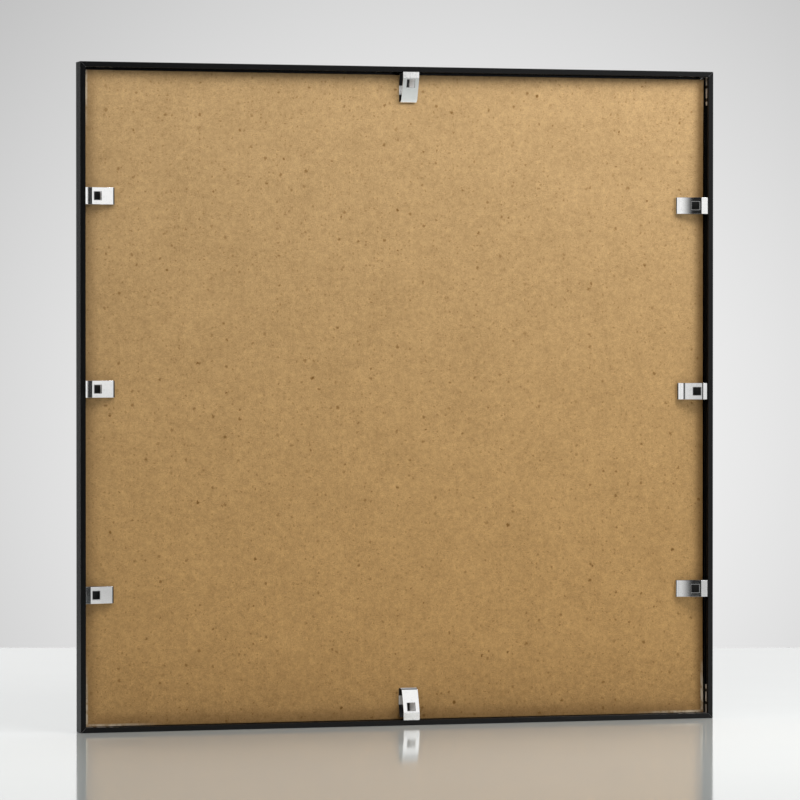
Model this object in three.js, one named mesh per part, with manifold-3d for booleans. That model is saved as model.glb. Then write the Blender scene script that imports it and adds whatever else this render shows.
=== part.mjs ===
// A square clip frame, standing upright with its back towards -Y.
// Four mitred aluminium rails hold glazing, an insert sheet and a hardboard back.
// Spring steel clips hook under the rails' back lip and press the sheets forward.
// Millimetres, +Z up, origin at the middle of the underside.

import * as THREE from 'three';
import { mergeVertices } from 'three/addons/utils/BufferGeometryUtils.js';
import Module from 'manifold-3d';

const wasm = await Module();
wasm.setup();

// Overall size
const FRAME_WIDTH = 510;
const FRAME_HEIGHT = 510;
const RAIL_DEPTH = 16;

// Rail section: widths run inwards from the outer face, heights forwards from the back face
const RAIL_WIDTH = 3.8;
const RAIL_WALL = 1.0;
const RAIL_EDGE_RADIUS = 0.5;
const BACK_LIP = 1.0;
const CLIP_GROOVE = 1.9;
const RIB = 0.8;
const KEY_CHANNEL = 4.0;
const FRONT_WALL = 1.2;
const FRONT_LIP_OVERLAP = 3.8;
const MITRE_GAP = 0.3;

// Corner keys, and the crimps in the rails that hold them
const KEY_LEG = 26.4;
const KEY_CLEARANCE = 0.15;
const CRIMP_THICKNESS = 0.9;
const CRIMP_LENGTH = 2.4;
const CRIMP_NEAR = 11.8;
const CRIMP_FAR = 21.9;
const CRIMP_ROOT = 0.3;

// Sheets, from the front lip backwards
const SHEET_CLEARANCE = 1.2;
const SHEET_SEAT_GAP = 0.3;
const SHEET_GAP = 0.1;
const GLAZING_THICKNESS = 2.0;
const INSERT_THICKNESS = 0.3;
const BOARD_THICKNESS = 2.5;

// Spring clips
const CLIP_WIDTH = 13;
const CLIP_STEEL = 0.5;
const CLIP_CLEARANCE = 0.15;
const CLIP_TIP = 6.8;
const CLIP_SHOULDER_RADIUS = 3.0;
const CLIP_REACH = 23.4;
const CLIP_NOSE_RADIUS = 1.4;
const CLIP_FOOT = 11.0;
const CLIP_TOE_RADIUS = 10.0;
const CLIP_TOE_ANGLE = THREE.MathUtils.degToRad(20);
const CLIP_TOE = 6.0;
const CLIP_HOLE = 6.3;
const CLIP_HOLE_EDGE = 0.8;

// Clips as found: place along the rail, and how far the tip stands off the groove's floor
const CLIP_STANDOFF = 1.4;
const CLIP_STANDOFF_DEEP = 0.3;
const CLIP_STANDOFF_BOTTOM = 1.7;
const LEFT_UPPER_INSET = 101.8;
const LEFT_MIDDLE_RISE = 6.3;
const LEFT_LOWER_INSET = 104.6;
const RIGHT_UPPER_INSET = 105.5;
const RIGHT_MIDDLE_RISE = 3.2;
const RIGHT_LOWER_INSET = 102.5;
const TOP_CLIP_SHIFT = 6.8;
const BOTTOM_CLIP_SHIFT = 7.2;

// Colours
const RAIL_BLACK = 0x1c1c1d;
const KEY_ZINC = 0xa9a39c;
const CLIP_BRIGHT = 0xd9d9d6;
const BOARD_TAN = 0xb08d5c;
const PAPER_WHITE = 0xf1eee6;
const GLASS_TINT = 0xdfe8e4;

// Depths from the back face
const GROOVE_END = BACK_LIP + CLIP_GROOVE;
const CHANNEL_START = GROOVE_END + RIB;
const CHANNEL_END = CHANNEL_START + KEY_CHANNEL;
const HOLLOW_START = CHANNEL_END + RIB;
const HOLLOW_END = RAIL_DEPTH - FRONT_WALL;
const GLAZING_BACK = HOLLOW_END - SHEET_GAP - GLAZING_THICKNESS;
const INSERT_BACK = GLAZING_BACK - SHEET_GAP - INSERT_THICKNESS;
const BOARD_BACK = INSERT_BACK - SHEET_GAP - BOARD_THICKNESS;

// Sizes that follow from the fits
const FRONT_LIP = RAIL_WIDTH + SHEET_CLEARANCE + FRONT_LIP_OVERLAP;
const SHEET_WIDTH = FRAME_WIDTH - 2 * (RAIL_WIDTH + SHEET_CLEARANCE);
const SHEET_HEIGHT = FRAME_HEIGHT - 2 * (RAIL_WIDTH + SHEET_CLEARANCE);
const SHEET_SEAT = RAIL_WIDTH + SHEET_SEAT_GAP;
const KEY_OUTER = RAIL_WALL + KEY_CLEARANCE;
const KEY_INNER = RAIL_WIDTH - CRIMP_THICKNESS - KEY_CLEARANCE;

const X_AXIS = new THREE.Vector3(1, 0, 0);
const Y_AXIS = new THREE.Vector3(0, 1, 0);
const Z_AXIS = new THREE.Vector3(0, 0, 1);
const BACKWARDS = new THREE.Vector3(0, -1, 0);

function finish(color, roughness, metalness) {
  return new THREE.MeshStandardMaterial({ color, roughness, metalness });
}

function part(name, geometry, material) {
  const mesh = new THREE.Mesh(geometry, material);
  mesh.name = name;
  return mesh;
}

// The Y coordinate of a depth measured forwards from the back face
function atDepth(depth) {
  return depth - RAIL_DEPTH / 2;
}

// A closed mesh as a solid that can be joined and cut
function toSolid(geometry) {
  const plain = geometry.clone();
  plain.deleteAttribute('normal');
  plain.deleteAttribute('uv');
  const merged = mergeVertices(plain);
  return new wasm.Manifold(new wasm.Mesh({
    numProp: 3,
    vertProperties: merged.attributes.position.array,
    triVerts: Uint32Array.from(merged.index.array),
  }));
}

function toGeometry(solid) {
  const mesh = solid.getMesh();
  const geometry = new THREE.BufferGeometry();
  geometry.setAttribute('position', new THREE.BufferAttribute(mesh.vertProperties, 3));
  geometry.setIndex(new THREE.BufferAttribute(mesh.triVerts, 1));
  geometry.computeVertexNormals();
  return geometry;
}

// Points of an arc, from one angle to another
function arcPoints(centre, radius, from, to, steps) {
  return Array.from({ length: steps + 1 }, (_, i) => {
    const angle = from + (to - from) * i / steps;
    return new THREE.Vector2(centre.x + radius * Math.cos(angle), centre.y + radius * Math.sin(angle));
  });
}

// Rail section: x is Y, y is the distance inwards from the outer face
function railSection() {
  const round = RAIL_EDGE_RADIUS;
  const backEdge = new THREE.Vector2(atDepth(round), round);
  const frontEdge = new THREE.Vector2(atDepth(RAIL_DEPTH - round), round);
  const corner = (depth, width) => new THREE.Vector2(atDepth(depth), width);
  return new THREE.Shape([
    ...arcPoints(backEdge, round, Math.PI, 1.5 * Math.PI, 3),
    ...arcPoints(frontEdge, round, -Math.PI / 2, 0, 3),
    corner(RAIL_DEPTH, FRONT_LIP),
    corner(HOLLOW_END, FRONT_LIP),
    corner(HOLLOW_END, RAIL_WIDTH),
    corner(CHANNEL_END, RAIL_WIDTH),
    corner(CHANNEL_END, RAIL_WALL),
    corner(CHANNEL_START, RAIL_WALL),
    corner(CHANNEL_START, RAIL_WIDTH),
    corner(GROOVE_END, RAIL_WIDTH),
    corner(GROOVE_END, RAIL_WALL),
    corner(BACK_LIP, RAIL_WALL),
    corner(BACK_LIP, RAIL_WIDTH),
    corner(0, RAIL_WIDTH),
  ]);
}

// A rail along X with its outer face down; its ends are drawn in by the width to make the mitres
function railGeometry(length) {
  const geometry = new THREE.ExtrudeGeometry(railSection(), { depth: length, bevelEnabled: false });
  geometry.applyMatrix4(new THREE.Matrix4().makeBasis(Y_AXIS, Z_AXIS, X_AXIS));
  geometry.translate(-length / 2, 0, 0);
  const endRelief = MITRE_GAP / Math.SQRT2;
  const position = geometry.attributes.position;
  for (let i = 0; i < position.count; i += 1) {
    const x = position.getX(i);
    position.setX(i, Math.sign(x) * (length / 2 - position.getZ(i) - endRelief));
  }

  const hollow = new THREE.BoxGeometry(length, HOLLOW_END - HOLLOW_START, RAIL_WIDTH - 2 * RAIL_WALL);
  hollow.translate(0, atDepth((HOLLOW_START + HOLLOW_END) / 2), RAIL_WIDTH / 2);
  let rail = toSolid(geometry).subtract(toSolid(hollow));
  for (const end of [-1, 1]) {
    for (const fromCorner of [CRIMP_NEAR, CRIMP_FAR]) {
      const height = KEY_CHANNEL + 2 * CRIMP_ROOT;
      const crimp = new THREE.BoxGeometry(CRIMP_LENGTH, height, CRIMP_THICKNESS);
      crimp.translate(
        end * (length / 2 - fromCorner),
        atDepth(CHANNEL_START + KEY_CHANNEL / 2),
        RAIL_WIDTH - CRIMP_THICKNESS / 2,
      );
      rail = rail.add(toSolid(crimp));
    }
  }
  return toGeometry(rail);
}

// An L of strip that lies in the key channels of two rails, with its outer corner at the origin
function keyGeometry() {
  const outline = new THREE.Shape();
  outline.moveTo(KEY_OUTER, KEY_OUTER);
  outline.lineTo(KEY_LEG, KEY_OUTER);
  outline.lineTo(KEY_LEG, KEY_INNER);
  outline.lineTo(KEY_INNER, KEY_INNER);
  outline.lineTo(KEY_INNER, KEY_LEG);
  outline.lineTo(KEY_OUTER, KEY_LEG);
  outline.closePath();
  const width = KEY_CHANNEL - 2 * KEY_CLEARANCE;
  const geometry = new THREE.ExtrudeGeometry(outline, { depth: width, bevelEnabled: false });
  geometry.applyMatrix4(new THREE.Matrix4().makeBasis(X_AXIS, Z_AXIS, BACKWARDS));
  geometry.translate(0, atDepth(CHANNEL_END - KEY_CLEARANCE), 0);
  return geometry;
}

function sheetGeometry(thickness, backDepth) {
  const geometry = new THREE.BoxGeometry(SHEET_WIDTH, thickness, SHEET_HEIGHT);
  geometry.translate(0, atDepth(backDepth + thickness / 2), SHEET_SEAT + SHEET_HEIGHT / 2);
  return geometry;
}

// A clip in side view: x runs inwards from its tip, y up from the board.
// The tip lies level in the groove, the leg falls to the nose, and the foot runs back along the board.
function clipGeometry() {
  const half = CLIP_STEEL / 2;
  const tipLevel = BOARD_BACK - BACK_LIP - CLIP_CLEARANCE - half;
  const footLevel = CLIP_CLEARANCE + half;
  const shoulder = new THREE.Vector2(CLIP_TIP, tipLevel - CLIP_SHOULDER_RADIUS);
  const nose = new THREE.Vector2(CLIP_REACH, footLevel + CLIP_NOSE_RADIUS);
  const toe = new THREE.Vector2(CLIP_REACH - CLIP_FOOT, footLevel + CLIP_TOE_RADIUS);

  // The leg is the line that touches both the shoulder's and the nose's bend from above
  const between = nose.clone().sub(shoulder);
  const fall = Math.asin((CLIP_SHOULDER_RADIUS - CLIP_NOSE_RADIUS) / between.length())
    - Math.atan2(between.y, between.x);
  const legAngle = Math.PI / 2 - fall;
  const down = -Math.PI / 2;

  // Each face of the strip, from tip to toe, at an offset from its middle
  const face = (offset) => {
    const points = [
      new THREE.Vector2(0, tipLevel + offset),
      ...arcPoints(shoulder, CLIP_SHOULDER_RADIUS + offset, Math.PI / 2, legAngle, 3),
      ...arcPoints(nose, CLIP_NOSE_RADIUS + offset, legAngle, down, 10),
      ...arcPoints(toe, CLIP_TOE_RADIUS + offset, down, down - CLIP_TOE_ANGLE, 3),
    ];
    const end = points.at(-1);
    points.push(new THREE.Vector2(
      end.x - CLIP_TOE * Math.cos(CLIP_TOE_ANGLE),
      end.y + CLIP_TOE * Math.sin(CLIP_TOE_ANGLE),
    ));
    return points;
  };
  const outline = new THREE.Shape([...face(half), ...face(-half).reverse()]);
  const strip = new THREE.ExtrudeGeometry(outline, { depth: CLIP_WIDTH, bevelEnabled: false });
  strip.translate(0, 0, -CLIP_WIDTH / 2);

  // Square hole, cut square to the leg, a short way past the shoulder
  const hole = new THREE.BoxGeometry(CLIP_HOLE, 2 * CLIP_STEEL, CLIP_HOLE);
  hole.translate(CLIP_HOLE_EDGE + CLIP_HOLE / 2, CLIP_SHOULDER_RADIUS, 0);
  hole.rotateZ(-fall);
  hole.translate(shoulder.x, shoulder.y, 0);

  const clip = toGeometry(toSolid(strip).subtract(toSolid(hole)));
  clip.applyMatrix4(new THREE.Matrix4().makeBasis(Z_AXIS, BACKWARDS, X_AXIS));
  clip.translate(0, atDepth(BOARD_BACK), RAIL_WALL);
  return clip;
}

// The four sides: each is laid out along X with its outer face down, then turned into place.
// Along a side, places are measured from its middle.
const SIDES = [
  {
    name: 'bottom',
    length: FRAME_WIDTH,
    place: [0, 0, 0],
    turn: 0,
    clips: [{ name: 'clip_bottom', along: BOTTOM_CLIP_SHIFT, standoff: CLIP_STANDOFF_BOTTOM }],
  },
  {
    name: 'right',
    length: FRAME_HEIGHT,
    place: [FRAME_WIDTH / 2, 0, FRAME_HEIGHT / 2],
    turn: -Math.PI / 2,
    clips: [
      { name: 'clip_right_upper', along: FRAME_HEIGHT / 2 - RIGHT_UPPER_INSET, standoff: CLIP_STANDOFF },
      { name: 'clip_right_middle', along: RIGHT_MIDDLE_RISE, standoff: CLIP_STANDOFF_DEEP },
      { name: 'clip_right_lower', along: RIGHT_LOWER_INSET - FRAME_HEIGHT / 2, standoff: CLIP_STANDOFF },
    ],
  },
  {
    name: 'top',
    length: FRAME_WIDTH,
    place: [0, 0, FRAME_HEIGHT],
    turn: Math.PI,
    clips: [{ name: 'clip_top', along: -TOP_CLIP_SHIFT, standoff: CLIP_STANDOFF_DEEP }],
  },
  {
    name: 'left',
    length: FRAME_HEIGHT,
    place: [-FRAME_WIDTH / 2, 0, FRAME_HEIGHT / 2],
    turn: Math.PI / 2,
    clips: [
      { name: 'clip_left_upper', along: LEFT_UPPER_INSET - FRAME_HEIGHT / 2, standoff: CLIP_STANDOFF },
      { name: 'clip_left_middle', along: -LEFT_MIDDLE_RISE, standoff: CLIP_STANDOFF },
      { name: 'clip_left_lower', along: FRAME_HEIGHT / 2 - LEFT_LOWER_INSET, standoff: CLIP_STANDOFF_DEEP },
    ],
  },
];

// Each corner, with the turn that lays a key's legs along its two rails
const CORNERS = [
  { name: 'bottom_left', place: [-FRAME_WIDTH / 2, 0, 0], turn: 0 },
  { name: 'bottom_right', place: [FRAME_WIDTH / 2, 0, 0], turn: -Math.PI / 2 },
  { name: 'top_right', place: [FRAME_WIDTH / 2, 0, FRAME_HEIGHT], turn: Math.PI },
  { name: 'top_left', place: [-FRAME_WIDTH / 2, 0, FRAME_HEIGHT], turn: Math.PI / 2 },
];

const frame = new THREE.Group();

for (const { name, length, place, turn, clips } of SIDES) {
  const side = new THREE.Group();
  side.position.set(...place);
  side.rotation.y = turn;
  side.add(part(`rail_${name}`, railGeometry(length), finish(RAIL_BLACK, 0.45, 0.6)));
  for (const clip of clips) {
    const mesh = part(clip.name, clipGeometry(), finish(CLIP_BRIGHT, 0.25, 1));
    mesh.position.set(clip.along, 0, clip.standoff);
    side.add(mesh);
  }
  frame.add(side);
}

for (const { name, place, turn } of CORNERS) {
  const key = part(`corner_key_${name}`, keyGeometry(), finish(KEY_ZINC, 0.4, 1));
  key.position.set(...place);
  key.rotation.y = turn;
  frame.add(key);
}

frame.add(
  part('glazing', sheetGeometry(GLAZING_THICKNESS, GLAZING_BACK), finish(GLASS_TINT, 0.05, 0)),
  part('insert_sheet', sheetGeometry(INSERT_THICKNESS, INSERT_BACK), finish(PAPER_WHITE, 0.9, 0)),
  part('back_board', sheetGeometry(BOARD_THICKNESS, BOARD_BACK), finish(BOARD_TAN, 0.75, 0)),
);

export default frame;
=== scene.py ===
import math

import bmesh
import bpy
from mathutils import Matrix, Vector


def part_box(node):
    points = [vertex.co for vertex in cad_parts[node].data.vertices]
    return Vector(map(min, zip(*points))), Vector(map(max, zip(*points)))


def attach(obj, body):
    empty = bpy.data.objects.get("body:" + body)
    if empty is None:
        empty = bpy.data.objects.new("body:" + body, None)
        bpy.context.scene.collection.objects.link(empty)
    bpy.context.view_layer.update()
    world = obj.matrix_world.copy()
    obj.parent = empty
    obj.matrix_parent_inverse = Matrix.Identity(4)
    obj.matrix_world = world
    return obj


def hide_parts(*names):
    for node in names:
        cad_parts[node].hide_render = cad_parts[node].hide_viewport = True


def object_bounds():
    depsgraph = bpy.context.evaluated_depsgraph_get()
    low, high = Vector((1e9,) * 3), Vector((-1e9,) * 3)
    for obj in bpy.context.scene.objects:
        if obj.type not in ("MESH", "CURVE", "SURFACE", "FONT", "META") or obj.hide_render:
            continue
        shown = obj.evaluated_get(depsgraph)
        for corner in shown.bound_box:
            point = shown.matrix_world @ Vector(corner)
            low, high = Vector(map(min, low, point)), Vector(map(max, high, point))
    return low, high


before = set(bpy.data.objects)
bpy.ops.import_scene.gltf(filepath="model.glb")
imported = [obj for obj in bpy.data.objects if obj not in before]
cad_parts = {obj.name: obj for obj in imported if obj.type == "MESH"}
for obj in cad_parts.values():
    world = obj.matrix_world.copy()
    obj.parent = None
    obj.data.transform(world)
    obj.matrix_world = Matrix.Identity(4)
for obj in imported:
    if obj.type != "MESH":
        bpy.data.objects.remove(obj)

cad_low, cad_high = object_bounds()

# Camera
# The frame stands upright and is seen from behind, from a little left of its middle,
# through a long lens at the height of its lower half.
EYE = (-1.0263, -3.4863, 0.3005)
HEADING = math.radians(16.4)
PITCH = math.radians(-0.763)
PICTURE_WIDTH_MM = 36.0
LENS_MM = 210.94

camera_data = bpy.data.cameras.new("camera")
camera_data.sensor_width = PICTURE_WIDTH_MM
camera_data.lens = LENS_MM
camera = bpy.data.objects.new("camera", camera_data)
camera.location = EYE
camera.rotation_euler = (math.pi / 2 + PITCH, 0.0, -HEADING)
bpy.context.scene.collection.objects.link(camera)
bpy.context.scene.camera = camera

# Rails
# Four lengths of extruded aluminium, anodised black and then sawn to mitres, so the cut ends are bare metal.
# Each has a back lip with the clip groove under it, an open channel for the corner keys, a closed hollow
# and a front lip that holds the glass. Near each end two crimps are pressed over the key.
RAIL_DEPTH = cad_high.y - cad_low.y
RAIL_WIDTH = 0.0040
RAIL_WALL = 0.0010
BACK_LIP = 0.0010
GROOVE_END = 0.0029
CHANNEL_START = 0.0037
CHANNEL_END = 0.0077
HOLLOW_START = 0.0085
HOLLOW_END = 0.0148
FRONT_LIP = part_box("rail_bottom")[1].z
MITRE_GAP = 0.0003
OUTER_EDGE = 0.0005
SMALL_EDGE = 0.00018
ROUND_STEPS = 3
EDGE_ANGLE = math.radians(50)
BEND_ANGLE = math.radians(35)
MERGE_DISTANCE = 1e-6
CRIMP_NEAR = 0.0118
CRIMP_FAR = 0.0219
CRIMP_SIZE = (0.0024, 0.0046, 0.0009)
CRIMP_EDGE = 0.00025
CRIMP_PROUD = 0.00015
BLACK_ANODISED = (0.0028, 0.0028, 0.0030, 1.0)
SCUFFED_BLACK = (0.016, 0.016, 0.0165, 1.0)
BARE_ALUMINIUM = (0.16, 0.16, 0.165, 1.0)
DIE_LINE_SCALE = (4.0, 5200.0, 5200.0)
DIE_LINE_DEPTH = 0.000008
RUB_SCALE = (90.0, 420.0, 420.0)
SCUFF_SCALE = 2600.0
SAWN_START = 0.00042
SAWN_END = 0.00024
SATIN = 0.13


class Wire:
    """One output socket of a node. Arithmetic on wires and numbers adds Math nodes to the same tree."""

    def __init__(self, tree, socket=None):
        self.tree = tree
        self.socket = socket

    def node(self, kind, settings=None, values=None, output=0):
        """A new node in the same tree: its settings, then the values or wires of its sockets."""
        made = self.tree.nodes.new(kind)
        for name, setting in (settings or {}).items():
            setattr(made, name, setting)
        for key, value in (values or {}).items():
            for each in value if isinstance(value, list) else [value]:
                if isinstance(each, Wire):
                    self.tree.links.new(each.socket, made.inputs[key])
                else:
                    made.inputs[key].default_value = each
        return Wire(self.tree, made.outputs[output] if made.outputs else None)

    def out(self, name):
        return Wire(self.tree, self.socket.node.outputs[name])

    def math(self, operation, first, second=0.0):
        return self.node("ShaderNodeMath", {"operation": operation}, {0: first, 1: second})

    def __add__(self, other):
        return self.math("ADD", self, other)

    def __sub__(self, other):
        return self.math("SUBTRACT", self, other)

    def __mul__(self, other):
        return self.math("MULTIPLY", self, other)

    def __truediv__(self, other):
        return self.math("DIVIDE", self, other)

    def __rsub__(self, other):
        return self.math("SUBTRACT", other, self)

    __radd__ = __add__
    __rmul__ = __mul__

    def rise(self, low, high):
        """0 below low, 1 above high, a smooth step between; it falls where low is above high."""
        return self.node("ShaderNodeMapRange", {"interpolation_type": "SMOOTHSTEP"},
                         {"Value": self, "From Min": low, "From Max": high})

    def blend(self, first, second):
        """A colour between two colours, with this wire as the share of the second."""
        return self.node("ShaderNodeMix", {"data_type": "RGBA"}, {0: self, 6: first, 7: second}, output=2)

    def stretch(self, scale):
        """A vector with each part multiplied."""
        return self.node("ShaderNodeVectorMath", {"operation": "MULTIPLY"}, {0: self, 1: scale})

    def noise(self, scale, detail=2.0, roughness=0.5):
        """Noise at the places that this vector gives."""
        values = {"Vector": self, "Scale": scale, "Detail": detail, "Roughness": roughness}
        return self.node("ShaderNodeTexNoise", {}, values)


def new_material(name, **constants):
    """A material with its shader's constants set; gives the material, a wire and the shader node."""
    material = bpy.data.materials.new(name)
    material.use_nodes = True
    tree = material.node_tree
    shader = tree.nodes["Principled BSDF"]
    for socket, value in constants.items():
        shader.inputs[socket.replace("_", " ")].default_value = value
    return material, Wire(tree), shader


def feed(shader, **sockets):
    """Links wires to a shader's sockets."""
    for socket, wire in sockets.items():
        wire.tree.links.new(wire.socket, shader.inputs[socket.replace("_", " ")])


def new_tree(name, inputs):
    """A Geometry Nodes tree with a geometry and named inputs; gives the tree and a wire to each input."""
    tree = bpy.data.node_groups.new(name, "GeometryNodeTree")
    tree.interface.new_socket("Geometry", in_out="INPUT", socket_type="NodeSocketGeometry")
    tree.interface.new_socket("Geometry", in_out="OUTPUT", socket_type="NodeSocketGeometry")
    for label, kind in inputs.items():
        tree.interface.new_socket(label, in_out="INPUT", socket_type="NodeSocket" + kind)
    entry = tree.nodes.new("NodeGroupInput")
    return tree, {socket.name: Wire(tree, socket) for socket in entry.outputs if socket.name}


def end_tree(tree, geometry, turn, place, material):
    """Keeps each point's place on the unturned piece, turns and places the piece, and ends the tree."""
    at = geometry.node("GeometryNodeInputPosition")
    kept = geometry.node("GeometryNodeStoreNamedAttribute", {"data_type": "FLOAT_VECTOR"},
                         {"Geometry": geometry, "Name": "own_place", "Value": at})
    angles = kept.node("ShaderNodeCombineXYZ", {}, {"Y": turn})
    placed = kept.node("GeometryNodeTransform", {},
                       {"Geometry": kept, "Rotation": angles, "Translation": place})
    whole = placed.node("GeometryNodeRealizeInstances", {}, {"Geometry": placed})
    dressed = whole.node("GeometryNodeSetMaterial", {}, {"Geometry": whole, "Material": material})
    dressed.node("NodeGroupOutput", {}, {"Geometry": dressed})


def new_object(name, mesh):
    made = bpy.data.objects.new(name, mesh)
    bpy.context.scene.collection.objects.link(made)
    return made


def plain_mesh(made):
    """What an object is with its modifiers, as a mesh of its own."""
    return bpy.data.meshes.new_from_object(made.evaluated_get(bpy.context.evaluated_depsgraph_get()))


def finished(draft, name, bend_angle):
    """The draft with its modifiers as one clean mesh, smooth where it bends; the draft is removed."""
    mesh = plain_mesh(draft)
    bpy.data.objects.remove(draft)
    clean = bmesh.new()
    clean.from_mesh(mesh)
    bmesh.ops.remove_doubles(clean, verts=clean.verts, dist=MERGE_DISTANCE)
    bmesh.ops.recalc_face_normals(clean, faces=clean.faces)
    clean.to_mesh(mesh)
    clean.free()
    mesh.shade_smooth()
    mesh.set_sharp_from_angle(angle=bend_angle)
    made = new_object(name, mesh)
    made.modifiers.new("flat_faces_stay_flat", "WEIGHTED_NORMAL").keep_sharp = True
    made.data = plain_mesh(made)
    made.data.name = name
    made.modifiers.clear()
    return made


def break_edges(draft, width, steps):
    """A small bevel along every sharp edge."""
    bevel = draft.modifiers.new("broken_edges", "BEVEL")
    bevel.width = width
    bevel.segments = steps
    bevel.limit_method = "ANGLE"
    bevel.angle_limit = EDGE_ANGLE


def grown(tree, draft_mesh, name, values, edge=None):
    """What a Geometry Nodes tree makes from a draft mesh, with its cut edges broken if edge is given."""
    draft = new_object("draft_" + name, draft_mesh)
    modifier = draft.modifiers.new("shape", "NODES")
    modifier.node_group = tree
    for item in tree.interface.items_tree:
        if item.in_out == "INPUT" and item.name in values:
            modifier[item.identifier] = values[item.name]
    if edge:
        break_edges(draft, edge, 2)
    return finished(draft, name, BEND_ANGLE)


def loops_mesh(name, loops):
    """A mesh of closed loops of edges; each point is (x, y, radius of the round that it gets)."""
    mesh = bpy.data.meshes.new(name)
    points = [point for loop in loops for point in loop]
    edges = []
    for loop in loops:
        start = len(edges)
        edges += [(start + i, start + (i + 1) % len(loop)) for i in range(len(loop))]
    mesh.from_pydata([(x, y, 0.0) for x, y, _ in points], edges, [])
    mesh.attributes.new("round", "FLOAT", "POINT").data.foreach_set("value", [r for _, _, r in points])
    return mesh


def rail_section():
    """The outline and the hollow: depth from the back face, distance inwards, edge radius."""
    outline = [
        (0.0, 0.0, OUTER_EDGE),
        (RAIL_DEPTH, 0.0, OUTER_EDGE),
        (RAIL_DEPTH, FRONT_LIP, SMALL_EDGE),
        (HOLLOW_END, FRONT_LIP, SMALL_EDGE),
        (HOLLOW_END, RAIL_WIDTH, SMALL_EDGE),
        (CHANNEL_END, RAIL_WIDTH, SMALL_EDGE),
        (CHANNEL_END, RAIL_WALL, SMALL_EDGE),
        (CHANNEL_START, RAIL_WALL, SMALL_EDGE),
        (CHANNEL_START, RAIL_WIDTH, SMALL_EDGE),
        (GROOVE_END, RAIL_WIDTH, SMALL_EDGE),
        (GROOVE_END, RAIL_WALL, SMALL_EDGE),
        (BACK_LIP, RAIL_WALL, SMALL_EDGE),
        (BACK_LIP, RAIL_WIDTH, SMALL_EDGE),
        (0.0, RAIL_WIDTH, SMALL_EDGE),
    ]
    hollow = [
        (HOLLOW_START, RAIL_WALL, SMALL_EDGE),
        (HOLLOW_START, RAIL_WIDTH - RAIL_WALL, SMALL_EDGE),
        (HOLLOW_END, RAIL_WIDTH - RAIL_WALL, SMALL_EDGE),
        (HOLLOW_END, RAIL_WALL, SMALL_EDGE),
    ]
    return loops_mesh("rail_section", [outline, hollow])


def closed_prism(flat, height):
    """A filled flat outline drawn up into a closed solid."""
    offset = (0.0, 0.0, 1.0)
    walls = flat.node("GeometryNodeExtrudeMesh", {},
                      {"Mesh": flat, "Offset": offset, "Offset Scale": height, "Individual": False})
    floor = flat.node("GeometryNodeFlipFaces", {}, {"Mesh": flat})
    both = flat.node("GeometryNodeJoinGeometry", {}, {"Geometry": [floor, walls]})
    return flat.node("GeometryNodeMergeByDistance", {}, {"Geometry": both, "Distance": MERGE_DISTANCE})


def rail_tree():
    tree, given = new_tree("mitred_rail", {
        "Length": "Float", "Mitre Relief": "Float", "Back": "Float", "Crimp": "Object",
        "Crimp Near": "Float", "Crimp Far": "Float", "Crimp Middle": "Vector",
        "Turn": "Float", "Place": "Vector", "Material": "Material",
    })
    wire = Wire(tree)
    curve = wire.node("GeometryNodeMeshToCurve", {}, {"Mesh": given["Geometry"]})
    rounds = wire.node("GeometryNodeInputNamedAttribute", {"data_type": "FLOAT"}, {"Name": "round"})
    section = wire.node("GeometryNodeFilletCurve", {"mode": "POLY"},
                        {"Curve": curve, "Count": ROUND_STEPS, "Radius": rounds, "Limit Radius": True})
    flat = wire.node("GeometryNodeFillCurve", {"mode": "TRIANGLES"}, {"Curve": section})
    length = given["Length"]
    bar = closed_prism(flat, length)

    # Each end is drawn in by the distance from the outer face, which makes the mitres
    at = wire.node("ShaderNodeSeparateXYZ", {}, {"Vector": wire.node("GeometryNodeInputPosition")})
    end = at.out("Z") * 2.0 / length - 1.0
    along = end * (length / 2.0 - at.out("Y") - given["Mitre Relief"])
    laid = wire.node("ShaderNodeCombineXYZ", {},
                     {"X": along, "Y": at.out("X") + given["Back"], "Z": at.out("Y")})
    mitred = wire.node("GeometryNodeSetPosition", {}, {"Geometry": bar, "Position": laid})

    # Two crimps at each end
    index = wire.node("GeometryNodeInputIndex")
    side = index.math("FLOOR", index / 2.0) * 2.0 - 1.0
    far = index.math("MODULO", index, 2.0)
    inset = given["Crimp Near"] + far * (given["Crimp Far"] - given["Crimp Near"])
    shift = wire.node("ShaderNodeCombineXYZ", {}, {"X": side * (length / 2.0 - inset)})
    spot = wire.node("ShaderNodeVectorMath", {"operation": "ADD"}, {0: shift, 1: given["Crimp Middle"]})
    points = wire.node("GeometryNodePoints", {}, {"Count": 4, "Position": spot})
    pattern = wire.node("GeometryNodeObjectInfo", {}, {"Object": given["Crimp"]}).out("Geometry")
    crimps = wire.node("GeometryNodeInstanceOnPoints", {}, {"Points": points, "Instance": pattern})
    pressed = wire.node("GeometryNodeRealizeInstances", {}, {"Geometry": crimps})
    whole = wire.node("GeometryNodeMeshBoolean", {"operation": "UNION", "solver": "EXACT"},
                      {"Mesh 2": [mitred, pressed]})
    end_tree(tree, whole, given["Turn"], given["Place"], given["Material"])
    return tree


def crimp_pattern():
    """One crimp: a small pad with softly pressed edges, about its own middle."""
    shape = bmesh.new()
    bmesh.ops.create_cube(shape, size=1.0)
    bmesh.ops.scale(shape, vec=CRIMP_SIZE, verts=shape.verts)
    bmesh.ops.bevel(shape, geom=shape.edges[:], offset=CRIMP_EDGE, segments=ROUND_STEPS, affect="EDGES",
                    profile=0.5)
    mesh = bpy.data.meshes.new("crimp")
    shape.to_mesh(mesh)
    shape.free()
    return new_object("crimp_pattern", mesh)


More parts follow.
